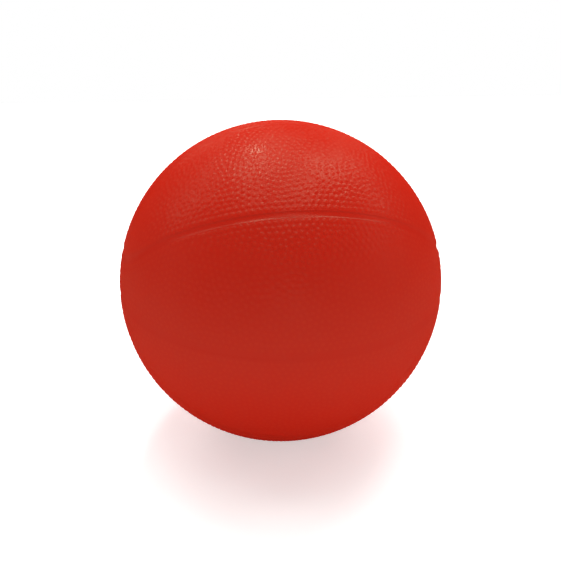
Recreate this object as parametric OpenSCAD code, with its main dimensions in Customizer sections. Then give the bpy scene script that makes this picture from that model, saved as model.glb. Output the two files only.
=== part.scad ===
// Inflatable play ball: a soft moulded skin with sunk channels, and a needle valve.
// The origin is the middle of the ball. Z is up, and the valve points back along +Y.
// One channel runs level round the middle, one stands upright through it, and two
// loops lie above and below the level one. They meet the upright one near its crossings.

/* [Ball] */
// Outside diameter over the skin
ball_d = 216; // [180:1:260]
// Thickness of the moulded skin, the same everywhere but at the valve
wall = 1.8; // [1.2:0.1:2.6]

/* [Channels] */
// Width of a channel from lip to lip
channel_w = 4.8; // [4:0.1:6]
// Depth of a channel at its middle
channel_depth = 0.8; // [0.6:0.05:1.2]
// Angle between the level channel and the long sides of a loop
loop_tilt = 44; // [38:0.5:50]
// Angle from the axis of a loop's rounded end out to the channel
loop_end = 29.8; // [24:0.2:34]

/* [Valve seat] */
// Radius of the smooth flat land round the valve
land_r = 7.4; // [6.4:0.1:9]
// Width of the sloping edge round the land
land_edge = 1.4; // [0.8:0.1:2]
// How far the land lies below the floor of the channel
land_drop = 0.6; // [0.2:0.05:1]
// Thickness of the skin and its boss at the valve
seat_t = 4; // [3.2:0.1:6]
// Radius of the boss inside the skin
boss_r = 13; // [11:0.5:18]
// How far the foot of the boss spreads past its face
boss_spread = 4; // [2:0.5:8]

/* [Valve housing] */
// Radius of the neck that passes through the skin
neck_r = 4.8; // [4.4:0.1:5.6]
// Radius of the flange against the boss
flange_r = 9.6; // [7.5:0.1:10.8]
// Thickness of the flange
flange_t = 1.6; // [1:0.1:3]
// Radius of the barrel at the flange
barrel_r = 6.2; // [5.6:0.1:7]
// Radius of the barrel at its inner end
barrel_end_r = 5.2; // [4.6:0.1:5.5]
// Length of the barrel below the flange
barrel_l = 11; // [8:0.5:16]
// Radius of the bore that holds the core
core_bore_r = 2.8; // [2.5:0.1:3.2]
// Radius of the recess for the head of the core
head_recess_r = 3.8; // [3.5:0.1:4.1]
// Depth of that recess
head_recess_d = 1.4; // [1:0.1:2]

/* [Valve core] */
// Gap all round between the core and its housing
core_gap = 0.05; // [0.02:0.01:0.15]
// Radius of the hole for the inflating needle
needle_r = 1.1; // [1:0.05:1.3]
// Length of the straight part of that hole
needle_l = 12; // [8:0.5:14]
// Radius of the funnel at the mouth of the hole
funnel_r = 2; // [1.6:0.1:2.6]
// Depth of the funnel
funnel_d = 1.6; // [1:0.1:2.4]
// Radius of the bulb that holds the core in its housing
bulb_r = 3.7; // [3.4:0.1:4.4]
// Length of the bulb
bulb_l = 5; // [4:0.5:8]
// Radius of the flat tip of the bulb
bulb_tip_r = 2; // [1.6:0.1:2.4]
// Width of the slit between the closing lips
slit_w = 2.4; // [1.8:0.1:3]
// Gap of the slit when no needle is in it
slit_gap = 0.15; // [0.1:0.05:0.3]

/* [Hidden] */

// Overrun of every cut
over = 1;
// Share of the bulb's length that lies below its widest ring
bulb_taper_share = 0.6;
// Turn of the spheres, which keeps their poles off the lines
pole_tilt = 12;
// Tilt and turn of the long sides of the loops, front and back of the upper, then the lower
side_turns = [[-loop_tilt, 0], [loop_tilt, 180], [loop_tilt, 0], [-loop_tilt, 180]];
// Which rounded ends are mirrored to -X and to below
end_sides = [[0, 0], [1, 0], [0, 1], [1, 1]];
// Sides of a small circle and of a large one, for the preview
small_fn = 64;
$fn = 180;

ball_r = ball_d / 2;
// Radius of the round section that has this width at the skin and this depth below it
channel_r = (channel_w * channel_w / 4 + channel_depth * channel_depth) / (2 * channel_depth);

// The rounded end touches both long sides. These are the angles, seen from the
// middle of the ball, from a crossing of the long sides to the axis of the end
// and to the point where the end begins, and half of the turn of the end.
end_axis_a = asin(sin(loop_end) / cos(loop_tilt));
side_start_a = acos(cos(end_axis_a) / cos(loop_end));
end_turn_a = acos(tan(loop_end) / tan(end_axis_a));

// Distances from the middle of the ball along the valve's axis
land_y = ball_r - channel_depth - land_drop;
boss_y = land_y - seat_t;
flange_y = boss_y - flange_t;
barrel_y = flange_y - barrel_l;
head_y = land_y - head_recess_d;
needle_y = land_y - funnel_d - needle_l;
bulb_y = barrel_y - bulb_l;

skin_colour = "#C23024";
rubber_colour = "#26262A";

// Round section of a cut along a line, with its deepest point so far below the skin
module arc_section(depth, r) {
    translate([ball_r - depth + r, 0]) circle(r = r, $fn = small_fn);
}

// Long side of a loop, level and in front, before it is tilted
module long_side() {
    rotate([0, 0, side_start_a - 180])
        rotate_extrude(angle = 180 - 2 * side_start_a) children();
}

// Rounded end of the upper loop at +X
module round_end() {
    rotate([0, 90 - end_axis_a, 0]) rotate([0, 0, -end_turn_a])
        rotate_extrude(angle = 2 * end_turn_a) rotate(90 - loop_end) children();
}

// One stretch of the lines by number, swept with the section given as child: the level
// line, the upright one, then the long sides and the rounded ends of both loops
module stretch(i) {
    if (i == 0) rotate_extrude() children();
    else if (i == 1) rotate([90, 0, 0]) rotate_extrude() children();
    else if (i < 6) rotate([side_turns[i - 2][0], 0, 0]) rotate([0, 0, side_turns[i - 2][1]])
        long_side() children();
    else mirror([end_sides[i - 6][0], 0, 0]) mirror([0, 0, end_sides[i - 6][1]])
        round_end() children();
}

// Cuts the first stretches out of its child, one after another, which keeps the cuts exact
module less_lines(depth, r, count = 10) {
    if (count == 0) children();
    else difference() {
        less_lines(depth, r, count - 1) children();
        stretch(count - 1) arc_section(depth, r);
    }
}

// Turned shape on the valve's axis: X is the radius and Y the distance from the
// middle of the ball
module on_valve_axis() {
    rotate([-90, 0, 0]) rotate_extrude() children();
}

// Boss that thickens the skin round the valve
module valve_boss() {
    on_valve_axis() polygon([
        [0, boss_y],
        [boss_r, boss_y],
        [boss_r + boss_spread, ball_r - wall],
        [0, ball_r - wall],
    ]);
}

// Whole ball of a radius. Its poles lie inside panels, clear of every line.
module plain_ball(r) {
    rotate([pole_tilt, 0, 0]) rotate([0, pole_tilt, 0]) sphere(r = r);
}

// Air space, drawn in by the ribs that keep the wall as thick under a channel
module air_space() {
    difference() {
        less_lines(channel_depth + wall, channel_r + wall) plain_ball(ball_r - wall);
        valve_boss();
    }
}

// Ball with its channels
module grooved_ball() {
    less_lines(channel_depth, channel_r) plain_ball(ball_r);
}

module ball_shell() {
    color(skin_colour) difference() {
        grooved_ball();
        air_space();
        on_valve_axis() polygon([
            [0, land_y],
            [land_r, land_y],
            [land_r + land_edge, ball_r],
            [land_r + land_edge, ball_r + over],
            [0, ball_r + over],
        ]);
        on_valve_axis() translate([0, boss_y - over])
            square([neck_r, land_y - boss_y + 2 * over]);
    }
}

module valve_housing() {
    color(skin_colour) difference() {
        on_valve_axis() polygon([
            [0, land_y],
            [neck_r, land_y],
            [neck_r, boss_y],
            [flange_r, boss_y],
            [flange_r, flange_y],
            [barrel_r, flange_y],
            [barrel_end_r, barrel_y],
            [0, barrel_y],
        ]);
        on_valve_axis() translate([0, barrel_y - over])
            square([core_bore_r, land_y - barrel_y + 2 * over]);
        on_valve_axis() translate([0, head_y])
            square([head_recess_r, head_recess_d + over]);
    }
}

module valve_core() {
    color(rubber_colour) difference() {
        on_valve_axis() polygon([
            [0, land_y],
            [head_recess_r - core_gap, land_y],
            [head_recess_r - core_gap, head_y],
            [core_bore_r - core_gap, head_y],
            [core_bore_r - core_gap, barrel_y],
            [bulb_r, barrel_y],
            [bulb_r, bulb_y + bulb_taper_share * bulb_l],
            [bulb_tip_r, bulb_y],
            [0, bulb_y],
        ]);
        on_valve_axis() polygon([
            [0, needle_y],
            [needle_r, needle_y],
            [needle_r, land_y - funnel_d],
            [funnel_r, land_y],
            [funnel_r, land_y + over],
            [0, land_y + over],
        ]);
        translate([-slit_w / 2, bulb_y - over, -slit_gap / 2])
            cube([slit_w, needle_y - bulb_y + 2 * over, slit_gap]);
    }
}

ball_shell();
valve_housing();
valve_core();
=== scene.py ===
"""Looks of an inflatable play ball: a pebbled vinyl skin with sunk channels, and its needle valve.

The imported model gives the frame: the ball's middle is the origin, Z is up, the front is -Y and the valve
points back along +Y. One channel lies level and one stands upright through the left and right ends. A
loop runs round the top and another round the bottom. They part the skin into eight panels of two shapes,
a band and a cap. Half turns carry them round the ball. Each shape is modelled once, and the band once
more with the smooth land that lies round the valve.
"""

import logging
import math
from collections.abc import Sequence
from dataclasses import dataclass
from enum import Enum

import bmesh
import bpy
import numpy as np
from mathutils import Matrix, Vector, kdtree


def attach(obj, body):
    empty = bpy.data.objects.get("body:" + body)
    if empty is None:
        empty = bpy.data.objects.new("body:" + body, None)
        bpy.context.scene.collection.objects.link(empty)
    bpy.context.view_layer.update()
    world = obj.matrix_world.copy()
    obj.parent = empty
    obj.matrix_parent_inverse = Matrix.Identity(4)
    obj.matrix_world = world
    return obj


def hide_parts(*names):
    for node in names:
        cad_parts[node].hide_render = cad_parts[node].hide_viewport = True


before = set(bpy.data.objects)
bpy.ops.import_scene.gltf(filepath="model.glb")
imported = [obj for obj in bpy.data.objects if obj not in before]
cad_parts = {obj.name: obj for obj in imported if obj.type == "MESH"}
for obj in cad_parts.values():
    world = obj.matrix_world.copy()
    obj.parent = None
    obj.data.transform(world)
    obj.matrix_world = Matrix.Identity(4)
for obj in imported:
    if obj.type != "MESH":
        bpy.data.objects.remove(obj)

LOG = logging.getLogger("play_ball")
MM = 0.001
# Millimetres in a metre, over which the size of a pattern gives its scale.
PER_METRE = 1000.0
BODY = "root"
# Place of the plain pigment on the ramp over the relief, which runs from 0 in gaps to 1 on tops.
EVEN_RELIEF = 0.55
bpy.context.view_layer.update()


def linear_colour(hex_code: str) -> tuple[float, float, float, float]:
    """Turns an sRGB hex colour into the linear colour that shaders use.

    Args:
        hex_code: Colour such as "#B92A1B".

    Returns:
        Linear red, green, blue and an alpha of 1.
    """
    shares = [int(hex_code[i : i + 2], 16) / 255 for i in (1, 3, 5)]
    linear = [s / 12.92 if s <= 0.04045 else ((s + 0.055) / 1.055) ** 2.4 for s in shares]
    return (*linear, 1.0)


def add_node(
    tree: bpy.types.NodeTree,
    kind: str,
    settings: dict[str, object] | None = None,
    inputs: dict[str, object] | None = None,
) -> bpy.types.Node:
    """Adds one node, sets it up and links it.

    Args:
        tree: Node tree that gets the node.
        kind: Blender's name of the node type.
        settings: Attributes of the node.
        inputs: Values for its sockets by name or place. An output socket there becomes a link.

    Returns:
        The new node.
    """
    node = tree.nodes.new(kind)
    for name, value in (settings or {}).items():
        setattr(node, name, value)
    for name, value in (inputs or {}).items():
        if isinstance(value, bpy.types.NodeSocket):
            tree.links.new(value, node.inputs[name])
        else:
            node.inputs[name].default_value = value
    return node


def ease(low: float, high: float, value: np.ndarray) -> np.ndarray:
    """Climbs smoothly from 0 at low to 1 at high, level at both ends."""
    t = np.clip((value - low) / (high - low), 0.0, 1.0)
    return t * t * t * (t * (6.0 * t - 15.0) + 10.0)


def unit(vector: Sequence[float]) -> np.ndarray:
    """Returns the vector at a length of 1."""
    array = np.asarray(vector, float)
    return array / np.linalg.norm(array)


@dataclass(frozen=True)
class Arc:
    """Stretch of a circle on the unit sphere.

    Attributes:
        axis: Unit vector through the middle of the circle.
        start: Unit vector, square to the axis, towards which the angle is 0.
        radius: Angle from the axis out to the circle, in radians.
        first: Angle at which the stretch starts.
        last: Angle at which it ends.
    """

    axis: np.ndarray
    start: np.ndarray
    radius: float
    first: float
    last: float

    @property
    def length(self) -> float:
        """Length of the stretch on the unit sphere."""
        return abs(self.last - self.first) * math.sin(self.radius)

    def at(self, share: np.ndarray) -> np.ndarray:
        """Finds points on the stretch.

        Args:
            share: Shares of its length, from 0 to 1.

        Returns:
            Unit vectors to the points.
        """
        turn = self.first + (self.last - self.first) * np.asarray(share, float)[:, None]
        side = np.cross(self.axis, self.start)
        rim = np.cos(turn) * self.start + np.sin(turn) * side
        return math.cos(self.radius) * self.axis + math.sin(self.radius) * rim

    def shrunk(self, angle: float) -> "Arc":
        """The same stretch, nearer to the axis by an angle."""
        return Arc(self.axis, self.start, self.radius - angle, self.first, self.last)


@dataclass(frozen=True)
class Rail:
    """Edge of a panel: arcs end to end, each with the panel's side of it.

    Attributes:
        arcs: The arcs in order.
        inward: 1 where the panel lies on the axis side of the arcs, and -1 where it lies outside.
    """

    arcs: tuple[Arc, ...]
    inward: int

    def at(self, share: np.ndarray) -> np.ndarray:
        """Finds points on the rail.

        Args:
            share: Shares of its whole length, from 0 to 1.

        Returns:
            Unit vectors to the points.
        """
        lengths = np.array([arc.length for arc in self.arcs])
        ends = np.concatenate([[0.0], np.cumsum(lengths)]) / lengths.sum()
        points = np.zeros((len(share), 3))
        for arc, low, high in zip(self.arcs, ends[:-1], ends[1:]):
            here = (share >= low) & (share <= high)
            points[here] = arc.at((share[here] - low) / (high - low))
        return points


class PanelKind(Enum):
    """The two shapes of panel."""

    BAND = "band"
    CAP = "cap"


class Facing(Enum):
    """Half turns that carry the front upper panels round the ball, as signs of X, Y and Z."""

    FRONT_UPPER = (1, 1, 1)
    FRONT_LOWER = (-1, 1, -1)
    BACK_UPPER = (-1, -1, 1)
    BACK_LOWER = (1, -1, -1)

    @property
    def signs(self) -> np.ndarray:
        """The signs as an array."""
        return np.array(self.value, float)


@dataclass(frozen=True)
class ChannelLayout:
    """Where the channels run, on the unit sphere, for the front upper quarter.

    Attributes:
        tilt_deg: Angle between the level channel and the long sides of a loop.
        end_deg: Angle from the axis of a loop's rounded end out to the channel.
    """

    tilt_deg: float = 44.0
    end_deg: float = 29.8

    @property
    def tilt(self) -> float:
        """Tilt of the long sides in radians."""
        return math.radians(self.tilt_deg)

    @property
    def end_radius(self) -> float:
        """Radius of the rounded ends in radians."""
        return math.radians(self.end_deg)

    @property
    def end_axis_angle(self) -> float:
        """Angle from the crossing at the side of the ball to the axis of a rounded end."""
        return math.asin(math.sin(self.end_radius) / math.cos(self.tilt))

    @property
    def side_start(self) -> float:
        """Angle from that crossing to where the long side starts."""
        return math.acos(math.cos(self.end_axis_angle) / math.cos(self.end_radius))

    @property
    def end_turn(self) -> float:
        """Half of the turn of a rounded end about its axis."""
        return math.acos(math.tan(self.end_radius) / math.tan(self.end_axis_angle))

    @property
    def side_axis(self) -> np.ndarray:
        """Axis of the circle that the front long side of the upper loop lies on."""
        return np.array([0.0, math.sin(self.tilt), math.cos(self.tilt)])

    def end_axis(self, side: int) -> np.ndarray:
        """Axis of the upper loop's rounded end on the side of +X or -X."""
        return np.array([side * math.cos(self.end_axis_angle), 0.0, math.sin(self.end_axis_angle)])

    def level(self) -> Rail:
        """Front half of the level channel, from +X to -X."""
        arc = Arc(np.array([0.0, 0.0, 1.0]), np.array([1.0, 0.0, 0.0]), math.pi / 2, 0.0, -math.pi)
        return Rail((arc,), 1)

    def upright(self) -> Rail:
        """Lays the upright channel over the top.

        Returns:
            The rail, from the loop's rounded end at +X to the one at -X.
        """
        low = self.end_axis_angle - self.end_radius
        arc = Arc(np.array([0.0, -1.0, 0.0]), np.array([1.0, 0.0, 0.0]), math.pi / 2, low, math.pi - low)
        return Rail((arc,), 1)

    def upright_ends(self) -> Rail:
        """Lays the upright channel between its crossings and the loop.

        Returns:
            The rail, of a short stretch at +X and one at -X.
        """
        low = self.end_axis_angle - self.end_radius
        axis, start = np.array([0.0, -1.0, 0.0]), np.array([1.0, 0.0, 0.0])
        first = Arc(axis, start, math.pi / 2, 0.0, low)
        return Rail((first, Arc(axis, start, math.pi / 2, math.pi - low, math.pi)), 1)

    def loop(self, inward: int) -> Rail:
        """Front half of the upper loop, from +X to -X.

        Args:
            inward: 1 for the panel inside the loop and -1 for the one outside.

        Returns:
            The rail, of two rounded ends and the long side between them.
        """
        rise = self.end_axis_angle
        towards = [np.array([s * math.sin(rise), 0.0, -math.cos(rise)]) for s in (1, -1)]
        right = Arc(self.end_axis(1), towards[0], self.end_radius, 0.0, -self.end_turn)
        left = Arc(self.end_axis(-1), towards[1], self.end_radius, self.end_turn, 0.0)
        start = np.array([1.0, 0.0, 0.0])
        side = Arc(self.side_axis, start, math.pi / 2, -self.side_start, self.side_start - math.pi)
        return Rail((right, side, left), inward)

    def distances(self, points: np.ndarray) -> list[np.ndarray]:
        """Angles from points anywhere on the ball to its channels.

        Args:
            points: Unit vectors.

        Returns:
            Angles to the level channel, to the upright one and to the nearer loop.
        """
        x, y, z = np.abs(points).T
        mirrored = np.stack([x, -y, z], axis=1)
        level = np.arcsin(np.clip(z, 0.0, 1.0))
        upright = np.arcsin(np.clip(y, 0.0, 1.0))
        end_axis = self.end_axis(1)
        beyond = mirrored @ np.cross(self.side_axis, end_axis) > 0.0
        side = np.abs(np.arcsin(np.clip(mirrored @ self.side_axis, -1.0, 1.0)))
        end = np.abs(np.arccos(np.clip(mirrored @ end_axis, -1.0, 1.0)) - self.end_radius)
        return [level, upright, np.where(beyond, end, side)]


@dataclass(frozen=True)
class Relief:
    """Heights of the skin above and below the ball's outside radius, in millimetres.

    Attributes:
        radius: Radius of the ball over the pebble tops.
        pebble_height: Height of a pebble over the ground between pebbles.
        pebble_radius: Radius of a pebble at its foot.
        channel_depth: Depth of a channel at its middle, from the pebble tops.
        floor_half: Half of the width of the channel's round floor.
        floor_rise: How far that floor rises towards its edges.
        lip_half: Half of the width of the channel from lip to lip.
        land_radius: Radius of the smooth land round the valve.
        land_edge: Width of the slope round that land.
        land_level: Distance of the land from the middle of the ball.
        groove_radius: Radius of the fine groove that the valve's mould insert leaves in the land.
        groove_half: Half of the width of that groove.
        groove_depth: Depth of that groove.
        passage_top: Radius at which the passage for the valve housing's neck starts to fall.
        passage_foot: Radius at which it has fallen to its full depth.
        passage_depth: Depth of that passage, whose walls the housing hides.
    """

    radius: float = 108.0
    pebble_height: float = 0.3
    pebble_radius: float = 1.6
    channel_depth: float = 0.8
    floor_half: float = 0.9
    floor_rise: float = 0.06
    lip_half: float = 2.55
    land_radius: float = 7.4
    land_edge: float = 1.4
    land_level: float = 106.6
    groove_radius: float = 6.3
    groove_half: float = 0.35
    groove_depth: float = 0.12
    passage_top: float = 4.7
    passage_foot: float = 4.2
    passage_depth: float = 15.5

    def ground(self, points: np.ndarray, layout: ChannelLayout, valve: bool) -> np.ndarray:
        """Height of the skin without its pebbles.

        Args:
            points: Unit vectors in the frame of the front upper quarter.
            layout: Where the channels run.
            valve: Whether the valve's land lies on this panel, at -Y in that frame.

        Returns:
            Heights from the outside radius, so mostly negative.
        """
        height = np.full(len(points), -self.pebble_height)
        for angle in layout.distances(points):
            wall = ease(self.floor_half, self.lip_half, angle * self.radius)
            rise = self.floor_rise * np.minimum(angle * self.radius / self.floor_half, 1.0) ** 2
            floor = -self.channel_depth + rise
            height = np.minimum(height, floor + (-self.pebble_height - floor) * wall)
        if valve:
            cosine = np.clip(-points[:, 1], 0.2, 1.0)
            reach = np.arccos(cosine) * self.radius
            land = self.land_level / cosine - self.radius
            groove = np.exp(-(((reach - self.groove_radius) / self.groove_half) ** 2))
            passage = 1.0 - ease(self.passage_foot, self.passage_top, reach)
            land = land - self.groove_depth * groove - self.passage_depth * passage
            share = ease(self.land_radius, self.land_radius + self.land_edge, reach)
            height = land + (height - land) * share
        return height

    def pebble(self, points: np.ndarray, centre: np.ndarray, size: np.ndarray) -> np.ndarray:
        """Height that the nearest pebble adds.

        Args:
            points: Unit vectors.
            centre: Unit vector to the middle of the pebble nearest to each point.
            size: Share of the usual size that this pebble has.

        Returns:
            Heights of 0 or more.
        """
        across = np.linalg.norm(points - centre, axis=1) * self.radius / (self.pebble_radius * size)
        dome = np.clip(1.0 - across * across, 0.0, None)
        # A larger pebble is higher too, and every top is a little flatter than a plain dome.
        return self.pebble_height * (1.5 * size - 0.5) * dome * (1.12 - 0.12 * dome)


@dataclass
class PebbleLayout:
    """Pebbles of one panel, in rows that follow its channels and meet in bends inside it.

    Attributes:
        channels: Where the channels run.
        kind: Shape of the panel.
        valve: Whether the valve's land lies on the panel.
        radius: Radius of the ball in millimetres.
        pitch: Distance between neighbouring pebbles in millimetres.
        first_row: Distance of the first row from the middle of a channel in millimetres.
        row_count: How many rows are laid inwards from every edge.
        slack: How far a pebble may lie outside its row in millimetres.
        crowded: Share of the pitch below which a pebble counts as crowded.
        clear: Distance that pebble middles keep from the valve's axis in millimetres.
        stray: How far pebbles inside the panel stray at the start, as a share of the pitch.
        rounds: How often the pebbles push each other apart.
        rest: Distance at which they stop, as a share of the pitch.
        push: Share of the missing distance that one push makes up.
        seed: Seed of the random start.
    """

    channels: ChannelLayout
    kind: PanelKind
    valve: bool = False
    radius: float = 108.0
    pitch: float = 4.02
    first_row: float = 4.3
    row_count: int = 14
    slack: float = 0.25
    crowded: float = 0.72
    clear: float = 10.9
    stray: float = 0.45
    rounds: int = 24
    rest: float = 1.04
    push: float = 0.32
    seed: int = 7

    def rails(self) -> list[Rail]:
        """Picks the edges of the panel.

        Returns:
            The rails that the rows of pebbles follow.
        """
        if self.kind is PanelKind.BAND:
            return [self.channels.loop(-1), self.channels.level(), self.channels.upright_ends()]
        return [self.channels.loop(1), self.channels.upright()]

    def inside(self, points: np.ndarray) -> np.ndarray:
        """Measures how far points lie inside the first rows.

        Args:
            points: Unit vectors.

        Returns:
            Distances in millimetres, negative outside the rows.
        """
        room = np.min(self.channels.distances(points), axis=0) * self.radius - self.first_row
        if self.valve:
            reach = np.arccos(np.clip(-points[:, 1], -1.0, 1.0)) * self.radius
            room = np.minimum(room, reach - self.clear)
        return room

    def rows(self) -> np.ndarray:
        """Lays pebbles in rows, inwards from every edge, and leaves out the crowded ones.

        Returns:
            Unit vectors to the pebbles. Those deep inside the panel stray a little.
        """
        rng = np.random.default_rng(self.seed)
        kept = np.zeros((0, 3))
        gap = self.pitch * math.sqrt(0.75)
        least = self.crowded * self.pitch / self.radius
        for number in range(self.row_count):
            offset = self.first_row + number * gap
            for rail in self.rails():
                for arc in rail.arcs:
                    moved = arc.shrunk(rail.inward * offset / self.radius)
                    # An arc that has shrunk to its own axis has no room for a pebble.
                    if moved.radius <= 0.5 / self.radius:
                        continue
                    count = max(1, round(moved.length * self.radius / self.pitch))
                    # Every second row is moved along by half a pitch.
                    share = (np.arange(count) + 0.5 * (number % 2) + 0.25) / count
                    points = moved.at(share)
                    points = points[self.inside(points) > number * gap - self.slack]
                    for point in points:
                        if len(kept) == 0 or np.linalg.norm(kept - point, axis=1).min() > least:
                            kept = np.vstack([kept, point])
        # The rows by the edges stay neat. From the third one on the pebbles stray in full.
        deep = ease(0.4 * gap, 2.2 * gap, self.inside(kept))[:, None]
        kept = kept + rng.normal(0.0, self.stray * self.pitch / self.radius, kept.shape) * (0.1 + deep)
        return kept / np.linalg.norm(kept, axis=1, keepdims=True)

    def relaxed(self) -> np.ndarray:
        """Lets the pebbles of the rows push each other to even distances.

        Returns:
            Unit vectors to the pebbles.
        """
        points = self.rows()
        rest = self.rest * self.pitch / self.radius
        for _ in range(self.rounds):
            step = points[:, None, :] - points[None, :, :]
            apart = np.sqrt(np.einsum("ijk,ijk->ij", step, step)) + np.eye(len(points))
            missing = np.clip(rest - apart, 0.0, None) / apart
            points = points + self.push * np.einsum("ij,ijk->ik", missing, step)
            points = self.held_in(points / np.linalg.norm(points, axis=1, keepdims=True))
        return points

    def held_in(self, points: np.ndarray) -> np.ndarray:
        """Moves points that left the panel's rows back to their edge.

        Args:
            points: Unit vectors.

        Returns:
            The points, with none outside.
        """
        room = self.inside(points)
        out = room < 0.0
        if not out.any():
            return points
        here = points[out]
        side = np.cross(here, [0.3, 0.2, 0.9])
        side /= np.linalg.norm(side, axis=1, keepdims=True)
        up = np.cross(here, side)
        nudge = 0.05
        slope = [(self.inside(here + nudge / self.radius * way) - room[out]) / nudge for way in (side, up)]
        steep = np.maximum(slope[0] ** 2 + slope[1] ** 2, 0.25)
        shift = -room[out] / self.radius / steep
        here = here + (slope[0] * shift)[:, None] * side + (slope[1] * shift)[:, None] * up
        points = points.copy()
        points[out] = here / np.linalg.norm(here, axis=1, keepdims=True)
        return points


@dataclass(frozen=True)
class SoftVinyl:
    """Plasticised vinyl, slush moulded against a blasted pebbled mould.

    The eye sees a full, even colour from inside the skin and a weak satin over every pebble.

    Attributes:
        name: Name of the material.
        colour: Pigment where the skin is evenly lit.
        painted_shade_colour: Painted shade, the pigment darkened in channels and between pebbles, where
            shade falls.
        painted_light_colour: Painted light, the pigment lightened on pebble tops, where light falls.
        mirror_colour: Share of the light that the gloss mirrors, warmed by plasticiser in the surface.
        drift: How far the pigment drifts along its ramp to either side.
        drift_mm: Size of the clouds in which it drifts.
        relief_share: Share of the relief that shows in the scattered light.
        roughness: Roughness of the satin that the mould leaves.
        polish: How far handling changes that roughness.
        polish_mm: Size of the patches that handling polishes.
        grain_mm: Size at which the mould's blasted grain is drawn. The real one is near 0.1 mm.
    """

    name: str = "satin_soft_vinyl"
    colour: str = "#C11704"
    painted_shade_colour: str = "#C01503"
    painted_light_colour: str = "#C21B05"
    mirror_colour: str = "#1B221B"
    drift: float = 0.1
    drift_mm: float = 60.0
    relief_share: float = 0.02
    roughness: float = 0.25
    polish: float = 0.02
    polish_mm: float = 25.0
    grain_mm: float = 0.45

    def build(self) -> bpy.types.Material:
        """Makes the node material.

        Returns:
            The material.
        """
        material = bpy.data.materials.new(self.name)
        material.use_nodes = True
        tree = material.node_tree
        shader = tree.nodes["Principled BSDF"]
        place = add_node(tree, "ShaderNodeTexCoord").outputs["Object"]
        tree.links.new(self.pigment(tree, place), shader.inputs["Base Color"])
        tree.links.new(self.scattering_normal(tree, place), shader.inputs["Normal"])
        shader.inputs["Roughness"].default_value = self.roughness
        # The gloss is a shader of its own, because a blasted skin hardly gains gloss at a slant.
        shader.inputs["Specular IOR Level"].default_value = 0.0
        gloss = add_node(
            tree,
            "ShaderNodeBsdfAnisotropic",
            {"distribution": "GGX"},
            {
                "Color": linear_colour(self.mirror_colour),
                "Roughness": self.satin(tree, place),
                "Normal": self.grain(tree, place),
            },
        )
        both = add_node(
            tree, "ShaderNodeAddShader", inputs={0: shader.outputs["BSDF"], 1: gloss.outputs["BSDF"]}
        )
        tree.links.new(both.outputs["Shader"], tree.nodes["Material Output"].inputs["Surface"])
        return material

    def pigment(self, tree: bpy.types.NodeTree, place: bpy.types.NodeSocket) -> bpy.types.NodeSocket:
        """Adds the colour, a ramp over the relief, with painted shade in the gaps and channels and painted
        light on the pebble tops.

        The pigment is stirred into the liquid vinyl, so it drifts a little in large clouds.

        Args:
            tree: Node tree of the material.
            place: Object coordinates.

        Returns:
            The colour.
        """
        relief = add_node(tree, "ShaderNodeAttribute", {"attribute_name": "relief"}).outputs["Fac"]
        drift = add_node(
            tree,
            "ShaderNodeTexNoise",
            inputs={
                "Vector": place,
                "Scale": PER_METRE / self.drift_mm,
                "Detail": 3.0,
                "Roughness": 0.55,
            },
        )
        drift_share = add_node(
            tree,
            "ShaderNodeMapRange",
            inputs={
                "Value": drift.outputs["Fac"],
                "From Min": 0.2,
                "From Max": 0.8,
                "To Min": -self.drift,
                "To Max": self.drift,
            },
        )
        lifted = add_node(
            tree,
            "ShaderNodeMath",
            {"operation": "ADD", "use_clamp": True},
            {0: relief, 1: drift_share.outputs["Result"]},
        )
        ramp = add_node(tree, "ShaderNodeValToRGB", inputs={"Fac": lifted.outputs["Value"]})
        # Painted shade: the gaps and channels, at the low end of the relief, get the darker pigment.
        ramp.color_ramp.elements[0].color = linear_colour(self.painted_shade_colour)
        # Painted light: the pebble tops, at the high end of the relief, get the lighter pigment.
        ramp.color_ramp.elements[1].color = linear_colour(self.painted_light_colour)
        middle = ramp.color_ramp.elements.new(EVEN_RELIEF)
        middle.color = linear_colour(self.colour)
        return ramp.outputs["Color"]

    def scattering_normal(
        self, tree: bpy.types.NodeTree, place: bpy.types.NodeSocket
    ) -> bpy.types.NodeSocket:
        """Adds the normal that scattered light follows.

        Light wanders some millimetres through the soft vinyl, so it evens out over pebbles and
        follows the round form of the ball more than the relief.

        Args:
            tree: Node tree of the material.
            place: Object coordinates.

        Returns:
            The normal.
        """
        form = add_node(
            tree,
            "ShaderNodeVectorTransform",
            {"vector_type": "NORMAL", "convert_from": "OBJECT", "convert_to": "WORLD"},
            {"Vector": place},
        )
        form_normal = add_node(
            tree, "ShaderNodeVectorMath", {"operation": "NORMALIZE"}, {0: form.outputs["Vector"]}
        )
        true_normal = add_node(tree, "ShaderNodeNewGeometry").outputs["Normal"]
        blend = add_node(
            tree,
            "ShaderNodeMix",
            {"data_type": "VECTOR"},
            {"Factor": self.relief_share, "A": form_normal.outputs["Vector"], "B": true_normal},
        )
        return add_node(
            tree, "ShaderNodeVectorMath", {"operation": "NORMALIZE"}, {0: blend.outputs["Result"]}
        ).outputs["Vector"]

    def satin(self, tree: bpy.types.NodeTree, place: bpy.types.NodeSocket) -> bpy.types.NodeSocket:
        """Adds the roughness, which handling polishes unevenly, in patches.

        Args:
            tree: Node tree of the material.
            place: Object coordinates.

        Returns:
            The roughness.
        """
        polish = add_node(
            tree,
            "ShaderNodeTexNoise",
            inputs={
                "Vector": place,
                "Scale": PER_METRE / self.polish_mm,
                "Detail": 4.0,
                "Roughness": 0.6,
            },
        )
        return add_node(
            tree,
            "ShaderNodeMapRange",
            inputs={
                "Value": polish.outputs["Fac"],
                "From Min": 0.3,
                "From Max": 0.7,
                "To Min": self.roughness - self.polish,
                "To Max": self.roughness + self.polish,
            },
        ).outputs["Result"]

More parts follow.
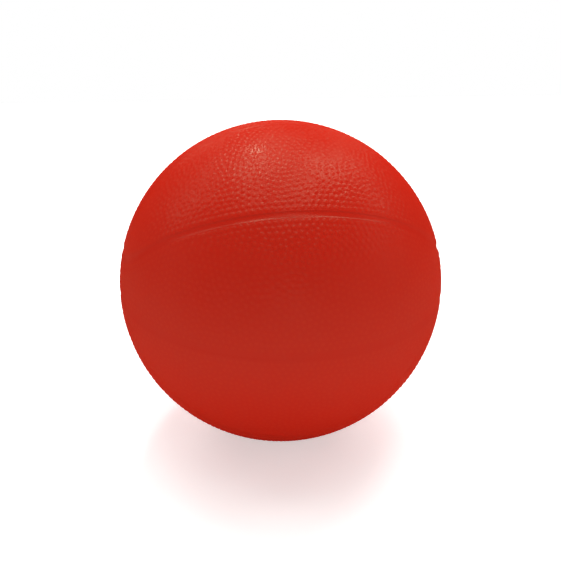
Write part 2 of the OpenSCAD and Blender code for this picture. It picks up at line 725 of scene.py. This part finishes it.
    def grain(self, tree: bpy.types.NodeTree, place: bpy.types.NodeSocket) -> bpy.types.NodeSocket:
        """Adds the mould's grain, drawn coarser than the real one, so that it shows.

        Args:
            tree: Node tree of the material.
            place: Object coordinates.

        Returns:
            The normal of the grained surface.
        """
        grain = add_node(
            tree,
            "ShaderNodeTexNoise",
            inputs={
                "Vector": place,
                "Scale": PER_METRE / self.grain_mm,
                "Detail": 2.0,
                "Roughness": 0.6,
            },
        )
        return add_node(
            tree,
            "ShaderNodeBump",
            inputs={"Strength": 0.25, "Distance": 0.02 * MM, "Height": grain.outputs["Fac"]},
        ).outputs["Normal"]


@dataclass(frozen=True)
class MouldedRubber:
    """Black natural rubber, pressed in a smooth mould: matt, with a faint bloom.

    Attributes:
        name: Name of the material.
        colour: The rubber itself.
        bloom_colour: Where the bloom has dulled it.
        ior: Refractive index of natural rubber.
        roughness: Roughness of the moulded surface.
        bloom_mm: Size of the patches of bloom.
        grain_mm: Size at which the mould's grain is drawn. The real one is near 0.05 mm.
    """

    name: str = "matt_moulded_rubber"
    colour: str = "#1E1E20"
    bloom_colour: str = "#37373A"
    ior: float = 1.52
    roughness: float = 0.62
    bloom_mm: float = 2.5
    grain_mm: float = 0.3

    def build(self) -> bpy.types.Material:
        """Makes the node material.

        Returns:
            The material.
        """
        material = bpy.data.materials.new(self.name)
        material.use_nodes = True
        tree = material.node_tree
        shader = tree.nodes["Principled BSDF"]
        shader.inputs["IOR"].default_value = self.ior
        place = add_node(tree, "ShaderNodeTexCoord").outputs["Object"]
        bloom = add_node(
            tree,
            "ShaderNodeTexNoise",
            inputs={
                "Vector": place,
                "Scale": PER_METRE / self.bloom_mm,
                "Detail": 5.0,
                "Roughness": 0.6,
            },
        )
        ramp = add_node(tree, "ShaderNodeValToRGB", inputs={"Fac": bloom.outputs["Fac"]})
        ramp.color_ramp.elements[0].position = 0.42
        ramp.color_ramp.elements[0].color = linear_colour(self.colour)
        ramp.color_ramp.elements[1].position = 0.75
        ramp.color_ramp.elements[1].color = linear_colour(self.bloom_colour)
        tree.links.new(ramp.outputs["Color"], shader.inputs["Base Color"])
        shine = add_node(
            tree,
            "ShaderNodeMapRange",
            inputs={
                "Value": bloom.outputs["Fac"],
                "To Min": self.roughness - 0.1,
                "To Max": self.roughness + 0.1,
            },
        )
        tree.links.new(shine.outputs["Result"], shader.inputs["Roughness"])
        grain = add_node(
            tree,
            "ShaderNodeTexNoise",
            inputs={"Vector": place, "Scale": PER_METRE / self.grain_mm, "Detail": 2.0},
        )
        bump = add_node(
            tree,
            "ShaderNodeBump",
            inputs={"Strength": 0.3, "Distance": 0.02 * MM, "Height": grain.outputs["Fac"]},
        )
        tree.links.new(bump.outputs["Normal"], shader.inputs["Normal"])
        return material


@dataclass
class Skin:
    """The pebbled skin, as eight panels that meet along the middles of the channels.

    Attributes:
        channels: Where the channels run.
        relief: Heights of channels, pebbles and land.
        finish: Finish of the skin.
        columns: Cells of a panel along its channels.
        rows: Cells of a panel across.
        steps: Distances of the first rows and columns from a channel's middle in millimetres.
        size_spread: Spread of the pebbles' sizes, as a share.
        size_seed: Seed of those sizes.
    """

    channels: ChannelLayout
    relief: Relief
    finish: SoftVinyl
    columns: int = 560
    rows: int = 138
    steps: tuple[float, ...] = (0.0, 0.5, 0.9, 1.2, 1.45, 1.7, 1.95, 2.2, 2.45, 2.75, 3.15, 3.6, 4.1)
    size_spread: float = 0.018
    size_seed: int = 3

    def __post_init__(self) -> None:
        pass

    def build(self) -> list[bpy.types.Object]:
        """Builds the eight panels.

        Returns:
            The pieces.
        """
        material = self.finish.build()
        pieces: list[bpy.types.Object] = []
        grids = {kind: self.plain_grid(kind) for kind in PanelKind}
        for kind, valve in ((PanelKind.BAND, False), (PanelKind.BAND, True), (PanelKind.CAP, False)):
            layout = PebbleLayout(self.channels, kind, valve, self.relief.radius)
            pebbles = layout.relaxed()
            places, normals, lift = self.shaped(grids[kind], pebbles, valve)
            for facing in Facing:
                if kind is PanelKind.BAND and valve == facing.name.startswith("FRONT"):
                    continue
                name = f"skin_{kind.value}_{facing.name.lower()}"
                piece = self.panel(name, grids[kind], places * facing.signs, normals * facing.signs, lift)
                piece.data.materials.append(material)
                pieces.append(piece)
        return pieces

    def shares(self, kind: PanelKind, rail: Rail) -> np.ndarray:
        """Where the columns start on a rail.

        Args:
            kind: Which panel.
            rail: One of its two long edges.

        Returns:
            Shares of the rail's length, with the first and last columns at the steps from the
            upright channel where the panel ends on it.
        """
        if kind is PanelKind.CAP:
            return np.linspace(0.0, 1.0, self.columns + 1)
        # All the steps lie within the first tenth of the rail.
        fine = np.linspace(0.0, 0.1, 400)
        away = np.arcsin(np.abs(rail.at(fine)[:, 1])) * self.relief.radius
        first = np.interp(self.steps, away, fine)
        middle = np.linspace(first[-1], 1.0 - first[-1], self.columns + 3 - 2 * len(first))
        return np.concatenate([first[:-1], middle, (1.0 - first[:-1])[::-1]])

    def plain_grid(self, kind: PanelKind) -> bpy.types.Mesh:
        """Lays a grid over a panel on the unit sphere, with rows along its channels.

        Args:
            kind: Which panel.

        Returns:
            The mesh in the frame of the front upper quarter.
        """
        if kind is PanelKind.BAND:
            low, high = self.channels.level(), self.channels.loop(-1)
            reach = (0, 2)
        else:
            low, high = self.channels.upright(), self.channels.loop(1)
            reach = (1, 2)
        starts = low.at(self.shares(kind, low))
        ends = high.at(self.shares(kind, high))
        share = np.linspace(0.0, 1.0, 161)
        steps = np.array(self.steps)
        # Where a panel is narrow, the fine rows by its edges take this share of it at most.
        edge_share = 0.4
        table = np.zeros((self.columns + 1, self.rows + 1, 3))
        for column, (start, end) in enumerate(zip(starts, ends)):
            span = math.acos(float(np.clip(start @ end, -1.0, 1.0)))
            if span < 1e-6:
                table[column] = start
                continue

            def along(t: np.ndarray) -> np.ndarray:
                """Points on the line from start to end."""
                mixed = np.sin((1 - t) * span)[:, None] * start + np.sin(t * span)[:, None] * end
                return mixed / math.sin(span)

            away = [self.channels.distances(along(share))[i] * self.relief.radius for i in reach]
            first = np.interp(steps, np.maximum.accumulate(away[0]), share)
            last = 1.0 - np.interp(steps, np.maximum.accumulate(away[1][::-1]), share)
            first *= min(1.0, edge_share / max(first[-1], 1e-9))
            last = 1.0 - (1.0 - last) * min(1.0, edge_share / max(1.0 - last[-1], 1e-9))
            middle = np.linspace(first[-1], last[-1], self.rows + 3 - 2 * len(steps))
            table[column] = along(np.concatenate([first[:-1], middle, last[:-1][::-1]]))
        shell = bmesh.new()
        bmesh.ops.create_grid(shell, x_segments=self.columns, y_segments=self.rows, size=1.0)
        for vertex in shell.verts:
            column = round((vertex.co.x + 1.0) / 2.0 * self.columns)
            row = round((vertex.co.y + 1.0) / 2.0 * self.rows)
            vertex.co = table[column, row]
        bmesh.ops.remove_doubles(shell, verts=shell.verts, dist=2e-4)
        shell.normal_update()
        shell.faces.ensure_lookup_table()
        middle_face = max(shell.faces, key=lambda face: face.calc_area())
        if middle_face.normal.dot(middle_face.calc_center_median()) < 0.0:
            bmesh.ops.reverse_faces(shell, faces=shell.faces)
        mesh = bpy.data.meshes.new(f"plain_{kind.value}")
        shell.to_mesh(mesh)
        shell.free()
        return mesh

    def shaped(self, plain: bpy.types.Mesh, pebbles: np.ndarray, valve: bool) -> tuple[np.ndarray, ...]:
        """Raises the pebbles and sinks the channels.

        Args:
            plain: Panel on the unit sphere.
            pebbles: Unit vectors to its pebbles.
            valve: Whether the valve's land lies on it.

        Returns:
            Places in metres, normals, and the share of a pebble's height at each vertex.
        """
        points = np.zeros(len(plain.vertices) * 3)
        plain.vertices.foreach_get("co", points)
        points = points.reshape(-1, 3)
        points /= np.linalg.norm(points, axis=1, keepdims=True)
        tree = kdtree.KDTree(len(pebbles))
        for number, pebble in enumerate(pebbles):
            tree.insert(pebble, number)
        tree.balance()
        nearest = np.array([tree.find(point)[1] for point in points])
        sizes = 1.0 + np.random.default_rng(self.size_seed).normal(0.0, self.size_spread, len(pebbles))
        centre, size = pebbles[nearest], sizes[nearest]

        def height(where: np.ndarray) -> np.ndarray:
            """Whole height over the outside radius."""
            ground = self.relief.ground(where, self.channels, valve)
            return ground + self.relief.pebble(where, centre, size)

        side = np.cross(points, [0.31, 0.17, 0.94])
        side /= np.linalg.norm(side, axis=1, keepdims=True)
        up = np.cross(points, side)
        base = height(points)
        step = 0.02
        normals = points.copy()
        for way in (side, up):
            ahead = points + way * step / self.relief.radius
            ahead /= np.linalg.norm(ahead, axis=1, keepdims=True)
            behind = points - way * step / self.relief.radius
            behind /= np.linalg.norm(behind, axis=1, keepdims=True)
            slope = (height(ahead) - height(behind)) / (2.0 * step)
            normals -= slope[:, None] * way
        normals /= np.linalg.norm(normals, axis=1, keepdims=True)
        lift = np.clip(1.0 + base / self.relief.pebble_height, 0.0, 1.0)
        return points * (self.relief.radius + base)[:, None] * MM, normals, lift

    def panel(
        self, name: str, plain: bpy.types.Mesh, places: np.ndarray, normals: np.ndarray, lift: np.ndarray
    ) -> bpy.types.Object:
        """Makes one panel piece.

        Args:
            name: Name of the piece.
            plain: Panel on the unit sphere.
            places: Places of its vertices in metres.
            normals: Its normals.
            lift: Share of a pebble's height at each vertex.

        Returns:
            The piece, riding on the ball in place of the skin's solid.
        """
        mesh = plain.copy()
        mesh.name = name
        mesh.vertices.foreach_set("co", places.ravel())
        mesh.attributes.new("relief", "FLOAT", "POINT").data.foreach_set("value", lift)
        mesh.shade_smooth()
        mesh.normals_split_custom_set_from_vertices(normals)
        piece = bpy.data.objects.new(name, mesh)
        bpy.context.scene.collection.objects.link(piece)
        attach(piece, BODY)
        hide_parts("ball_shell")
        return piece


@dataclass
class NeedleValve:
    """Valve housing with the rubber core inside it, turned on the +Y axis.

    All sizes are in millimetres, and levels are distances from the middle of the ball.

    Attributes:
        housing_finish: Finish of the housing.
        core_finish: Finish of the core.
        land_level: Level of the housing's and core's outer faces.
        neck_radius: Radius of the housing's neck.
        neck_drop: How far below the land the neck's straight wall starts.
        lip_radius: Radius of the thin lip that covers the joint with the skin.
        lip_inner_rise: How far the lip stands over the land round the recess.
        lip_rise: How far it stands over the land at its rim.
        lip_drop: How far its rim reaches below the land.
        flange_radius: Radius of the flange inside the skin's boss.
        flange_outer: Level of the flange's outer face.
        flange_inner: Level of its inner face.
        barrel_radius: Radius of the barrel at the flange.
        barrel_end_radius: Radius of the barrel at its inner end.
        barrel_end: Level of that end.
        recess_radius: Radius of the recess for the core's head.
        recess_depth: Depth of that recess.
        bore_radius: Radius of the bore for the core's stem.
        gap: Gap round the core.
        head_rise: How far the core's head stands over the land at the funnel.
        head_flat: Radius of the nearly flat middle of the head.
        head_flat_rise: How far it stands over the land there.
        head_rim_rise: How far it stands over the land at its rim.
        funnel_radius: Radius of the funnel's mouth.
        needle_radius: Radius of the needle hole.
        needle_top: Level at which the straight part of that hole starts.
        needle_end: Level at which it ends.
        needle_taper: Length over which it narrows to the passage beyond.
        slit_half: Half of the width of that passage.
        bulb_radius: Radius of the core's bulb.
        bulb_widest: Level at which the bulb starts to taper.
        bulb_tip: Level of its tip.
        bulb_tip_radius: Radius of its tip.
        edge: Width of the rounding of the edges.
        sharp_deg: Angle between two faces above which their edge is rounded.
        housing_faces: Faces of the housing round the axis.
        core_faces: Faces of the core round the axis.
    """

    housing_finish: SoftVinyl
    core_finish: MouldedRubber
    land_level: float = 106.6
    neck_radius: float = 4.8
    neck_drop: float = 0.35
    lip_radius: float = 5.35
    lip_inner_rise: float = 0.1
    lip_rise: float = 0.14
    lip_drop: float = 0.15
    flange_radius: float = 9.6
    flange_outer: float = 102.6
    flange_inner: float = 101.0
    barrel_radius: float = 6.2
    barrel_end_radius: float = 5.2
    barrel_end: float = 90.0
    recess_radius: float = 3.8
    recess_depth: float = 1.4
    bore_radius: float = 2.8
    gap: float = 0.05
    head_rise: float = 0.22
    head_flat: float = 2.9
    head_flat_rise: float = 0.2
    head_rim_rise: float = 0.02
    funnel_radius: float = 2.0
    needle_radius: float = 1.1
    needle_top: float = 105.0
    needle_end: float = 93.2
    needle_taper: float = 0.2
    slit_half: float = 0.3
    bulb_radius: float = 3.7
    bulb_widest: float = 88.0
    bulb_tip: float = 85.0
    bulb_tip_radius: float = 2.0
    edge: float = 0.13
    sharp_deg: float = 28.0
    housing_faces: int = 72
    core_faces: int = 64

    def turned(self, name: str, outline: Sequence[tuple[float, float]], steps: int) -> bpy.types.Object:
        """Turns a closed outline round the valve's axis and rounds its edges.

        Args:
            name: Name of the piece.
            outline: Radius and level of each corner.
            steps: Faces round the axis.

        Returns:
            The piece.
        """
        shell = bmesh.new()
        corners = [shell.verts.new((radius * MM, level * MM, 0.0)) for radius, level in outline]
        edges = [shell.edges.new((a, b)) for a, b in zip(corners, corners[1:] + corners[:1])]
        bmesh.ops.spin(
            shell,
            geom=[*corners, *edges],
            cent=(0.0, 0.0, 0.0),
            axis=(0.0, 1.0, 0.0),
            angle=2.0 * math.pi,
            steps=steps,
            use_merge=True,
        )
        bmesh.ops.remove_doubles(shell, verts=shell.verts, dist=1e-6)
        bmesh.ops.recalc_face_normals(shell, faces=shell.faces)
        least = math.radians(self.sharp_deg)
        sharp = [edge for edge in shell.edges if edge.is_manifold and edge.calc_face_angle(0.0) > least]
        bmesh.ops.bevel(
            shell,
            geom=sharp,
            offset=self.edge * MM,
            offset_type="OFFSET",
            affect="EDGES",
            segments=3,
            profile=0.5,
            material=-1,
            clamp_overlap=True,
        )
        mesh = bpy.data.meshes.new(name)
        shell.to_mesh(mesh)
        shell.free()
        plain = np.full(len(mesh.vertices), EVEN_RELIEF)
        mesh.attributes.new("relief", "FLOAT", "POINT").data.foreach_set("value", plain)
        mesh.shade_smooth()
        piece = bpy.data.objects.new(name, mesh)
        bpy.context.scene.collection.objects.link(piece)
        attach(piece, BODY)
        return piece

    def build(self) -> list[bpy.types.Object]:
        """Builds the housing and the core.

        Returns:
            The two pieces.
        """
        top = self.land_level
        housing = self.turned(
            "valve_housing_moulded",
            [
                (self.recess_radius, top + self.lip_inner_rise),
                (self.lip_radius, top + self.lip_rise),
                (self.lip_radius, top - self.lip_drop),
                (self.neck_radius, top - self.neck_drop),
                (self.neck_radius, self.flange_outer),
                (self.flange_radius, self.flange_outer),
                (self.flange_radius, self.flange_inner),
                (self.barrel_radius, self.flange_inner),
                (self.barrel_end_radius, self.barrel_end),
                (self.bore_radius, self.barrel_end),
                (self.bore_radius, top - self.recess_depth),
                (self.recess_radius, top - self.recess_depth),
            ],
            self.housing_faces,
        )
        housing.data.materials.append(self.housing_finish.build())
        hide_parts("valve_housing")
        head = self.recess_radius - self.gap
        stem = self.bore_radius - self.gap
        core = self.turned(
            "valve_core_moulded",
            [
                (self.funnel_radius, top + self.head_rise),
                (self.head_flat, top + self.head_flat_rise),
                (head, top + self.head_rim_rise),
                (head, top - self.recess_depth + self.gap),
                (stem, top - self.recess_depth + self.gap),
                (stem, self.barrel_end - self.gap),
                (self.bulb_radius, self.barrel_end - 2.0 * self.gap),
                (self.bulb_radius, self.bulb_widest),
                (self.bulb_tip_radius, self.bulb_tip),
                (self.slit_half, self.bulb_tip),
                (self.slit_half, self.needle_end - self.needle_taper),
                (self.needle_radius, self.needle_end),
                (self.needle_radius, self.needle_top),
            ],
            self.core_faces,
        )
        core.data.materials.append(self.core_finish.build())
        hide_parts("valve_core")
        return [housing, core]


@dataclass
class PhotoCamera:
    """Camera where the photograph was taken from.

    Attributes:
        towards: Direction from the ball's middle to the camera.
        upward: Direction of the photograph's upper edge.
        radii: Distance in ball radii.
        ball_radius: Radius of the ball in metres.
        focal_pixels: Focal length in pixels of the photograph.
        frame_pixels: Width of the photograph.
    """

    towards: tuple[float, float, float] = (-0.1322, -0.905, 0.4044)
    upward: tuple[float, float, float] = (0.0442, 0.4022, 0.9145)
    radii: float = 5.085
    ball_radius: float = 0.108
    focal_pixels: float = 802.7
    frame_pixels: int = 561

    def build(self) -> bpy.types.Object:
        """Makes the camera and gives it to the scene.

        Returns:
            The camera.
        """
        data = bpy.data.cameras.new("photo_camera")
        data.sensor_fit = "HORIZONTAL"
        data.sensor_width = 36.0
        data.lens = self.focal_pixels / self.frame_pixels * data.sensor_width
        data.clip_start = 0.01
        camera = bpy.data.objects.new("photo_camera", data)
        back = unit(self.towards)
        right = unit(np.cross(self.upward, back))
        up = np.cross(back, right)
        place = back * self.radii * self.ball_radius
        turn = np.stack([right, up, back], 1)
        camera.matrix_world = Matrix([[*row, at] for row, at in zip(turn, place)] + [[0, 0, 0, 1]])
        bpy.context.scene.collection.objects.link(camera)
        bpy.context.scene.camera = camera
        return camera


@dataclass(frozen=True)
class SoftLamp:
    """Round softbox that faces the ball.

    Attributes:
        name: Name of the lamp.
        towards: Direction from the ball to the lamp.
        distance: Distance from the ball in metres.
        width: Width in metres.
        power: Power in watts.
        mirrored: Whether it shows in gloss. A fill lamp stays out of it.
    """

    name: str
    towards: tuple[float, float, float]
    distance: float
    width: float
    power: float
    mirrored: bool = True

    def build(self) -> None:
        """Adds the lamp to the scene."""
        data = bpy.data.lights.new(self.name, "AREA")
        data.shape = "DISK"
        data.size = self.width
        data.energy = self.power
        lamp = bpy.data.objects.new(self.name, data)
        place = Vector(unit(self.towards)) * self.distance
        lamp.location = place
        lamp.rotation_euler = (-place).to_track_quat("-Z", "Y").to_euler()
        lamp.visible_glossy = self.mirrored
        bpy.context.scene.collection.objects.link(lamp)


@dataclass
class Studio:
    """Plain pale floor and soft light.

    Attributes:
        floor_level: Height of the floor in metres.
        floor_half: Half of the floor's width in metres.
        ambient: Strength of the world's light on the object.
        glow: Strength that keeps the floor white where it is seen, but for the ball's shadow.
        board_colour: Paint of the floor.
        lamps: The softboxes.
    """

    floor_level: float = -0.108
    floor_half: float = 1.15
    ambient: float = 0.19
    glow: float = 0.45
    board_colour: str = "#F7F7F5"
    lamps: tuple[SoftLamp, ...] = (
        SoftLamp("left_spot", (-0.12, 0.57, 0.81), 1.4, 0.14, 3.2),
        SoftLamp("overhead_middle", (0.05, 0.4, 0.91), 1.5, 0.5, 1.2),
        SoftLamp("overhead_left", (-0.2, 0.3, 0.93), 1.5, 0.5, 3.6),
        SoftLamp("overhead_right", (0.38, 0.3, 0.88), 1.5, 0.5, 4.5),
        SoftLamp("overhead_front_right", (0.2, -0.05, 0.98), 1.5, 0.5, 2.1),
        SoftLamp("overhead_front_left", (-0.3, -0.05, 0.95), 1.5, 0.5, 1.3),
        SoftLamp("upper_left", (-0.62, 0.28, 0.73), 1.5, 0.5, 0.95),
        SoftLamp("upper_right", (0.75, 0.2, 0.6), 1.5, 0.5, 1.65),
        SoftLamp("rear_right", (0.55, 0.5, 0.67), 1.5, 0.5, 2.15),
        SoftLamp("rear_middle", (0.1, 0.72, 0.69), 1.5, 0.5, 1.4),
        SoftLamp("rear_left", (-0.42, 0.55, 0.72), 1.5, 0.5, 1.1),
        SoftLamp("low_rear_right", (0.4, 0.85, 0.3), 1.5, 0.5, 1.7),
        SoftLamp("low_rear_left", (-0.22, 0.92, 0.32), 1.5, 0.5, 2.3),
        SoftLamp("rear_horizon", (0.1, 0.98, 0.17), 1.5, 0.5, 2.6),
        SoftLamp("high_front", (0.05, -0.32, 0.94), 1.5, 0.6, 1.0),
        SoftLamp("side_right", (0.85, -0.25, 0.45), 1.5, 0.6, 0.65),
        SoftLamp("side_left", (-0.75, 0.35, 0.56), 1.5, 0.6, 1.45),
        SoftLamp("overhead_fill", (0.05, 0.0, 1.0), 1.4, 0.9, 1.7, False),
        SoftLamp("left_fill", (-1.0, -0.1, 0.15), 1.4, 0.9, 2.4, False),
        SoftLamp("right_fill", (1.0, -0.15, 0.15), 1.4, 0.9, 1.9, False),
        SoftLamp("front_fill", (0.0, -1.0, 0.1), 1.4, 0.9, 3.2, False),
        SoftLamp("front_left_fill", (-0.65, -0.75, 0.1), 1.4, 0.9, 1.4, False),
        SoftLamp("front_right_fill", (0.65, -0.75, 0.1), 1.4, 0.9, 2.2, False),
    )

    def white_where_seen(self, tree: bpy.types.NodeTree) -> bpy.types.NodeSocket:
        """Adds nodes that tell by what kind of ray a surface is seen.

        Args:
            tree: Node tree of the world or of a material.

        Returns:
            1 for rays from the camera, from reflections and through glass, and 0 for others.
        """
        path = add_node(tree, "ShaderNodeLightPath")
        both = add_node(
            tree,
            "ShaderNodeMath",
            {"operation": "MAXIMUM"},
            {0: path.outputs["Is Camera Ray"], 1: path.outputs["Is Glossy Ray"]},
        )
        return add_node(
            tree,
            "ShaderNodeMath",
            {"operation": "MAXIMUM"},
            {0: both.outputs["Value"], 1: path.outputs["Is Transmission Ray"]},
        ).outputs["Value"]

    def build(self) -> None:
        """Makes the world, the lamps and the floor."""
        world = bpy.data.worlds.new("studio")
        bpy.context.scene.world = world
        world.use_nodes = True
        tree = world.node_tree
        tree.nodes.clear()
        seen = self.white_where_seen(tree)
        strength = add_node(
            tree, "ShaderNodeMapRange", inputs={"Value": seen, "To Min": self.ambient, "To Max": 1.0}
        )
        backdrop = add_node(
            tree,
            "ShaderNodeBackground",
            inputs={"Color": (1.0, 1.0, 1.0, 1.0), "Strength": strength.outputs["Result"]},
        )
        add_node(tree, "ShaderNodeOutputWorld", inputs={"Surface": backdrop.outputs["Background"]})

        for lamp in self.lamps:
            lamp.build()

        shell = bmesh.new()
        bmesh.ops.create_grid(shell, x_segments=1, y_segments=1, size=self.floor_half)
        bmesh.ops.translate(shell, verts=shell.verts, vec=(0.0, 0.0, self.floor_level))
        mesh = bpy.data.meshes.new("floor")
        shell.to_mesh(mesh)
        shell.free()
        floor = bpy.data.objects.new("floor", mesh)
        bpy.context.scene.collection.objects.link(floor)
        mesh.materials.append(self.floor_material())

    def floor_material(self) -> bpy.types.Material:
        """Makes the painted white board that the camera sees as white, with the ball's shadow.

        Returns:
            The material.
        """
        material = bpy.data.materials.new("white_painted_board")
        material.use_nodes = True
        tree = material.node_tree
        tree.nodes.clear()
        seen = self.white_where_seen(tree)
        board = add_node(tree, "ShaderNodeBsdfDiffuse", inputs={"Color": linear_colour(self.board_colour)})
        glow = add_node(
            tree, "ShaderNodeMapRange", inputs={"Value": seen, "To Min": 0.0, "To Max": self.glow}
        )
        light = add_node(tree, "ShaderNodeEmission", inputs={"Strength": glow.outputs["Result"]})
        both = add_node(
            tree, "ShaderNodeAddShader", inputs={0: board.outputs["BSDF"], 1: light.outputs["Emission"]}
        )
        add_node(tree, "ShaderNodeOutputMaterial", inputs={"Surface": both.outputs["Shader"]})
        return material


def main() -> None:
    """Builds the ball and its studio."""
    logging.basicConfig(level=logging.INFO, format="%(name)s: %(message)s")
    PhotoCamera().build()
    Studio().build()
    bpy.context.scene.view_settings.view_transform = "Standard"
    channels = ChannelLayout()
    pieces = Skin(channels, Relief(), SoftVinyl()).build()
    smooth = SoftVinyl("smooth_soft_vinyl", relief_share=1.0, roughness=0.4)
    pieces += NeedleValve(smooth, MouldedRubber()).build()
    for piece in pieces:
        LOG.info("%s: %d faces", piece.name, len(piece.data.polygons))


if __name__ == "__main__":
    main()
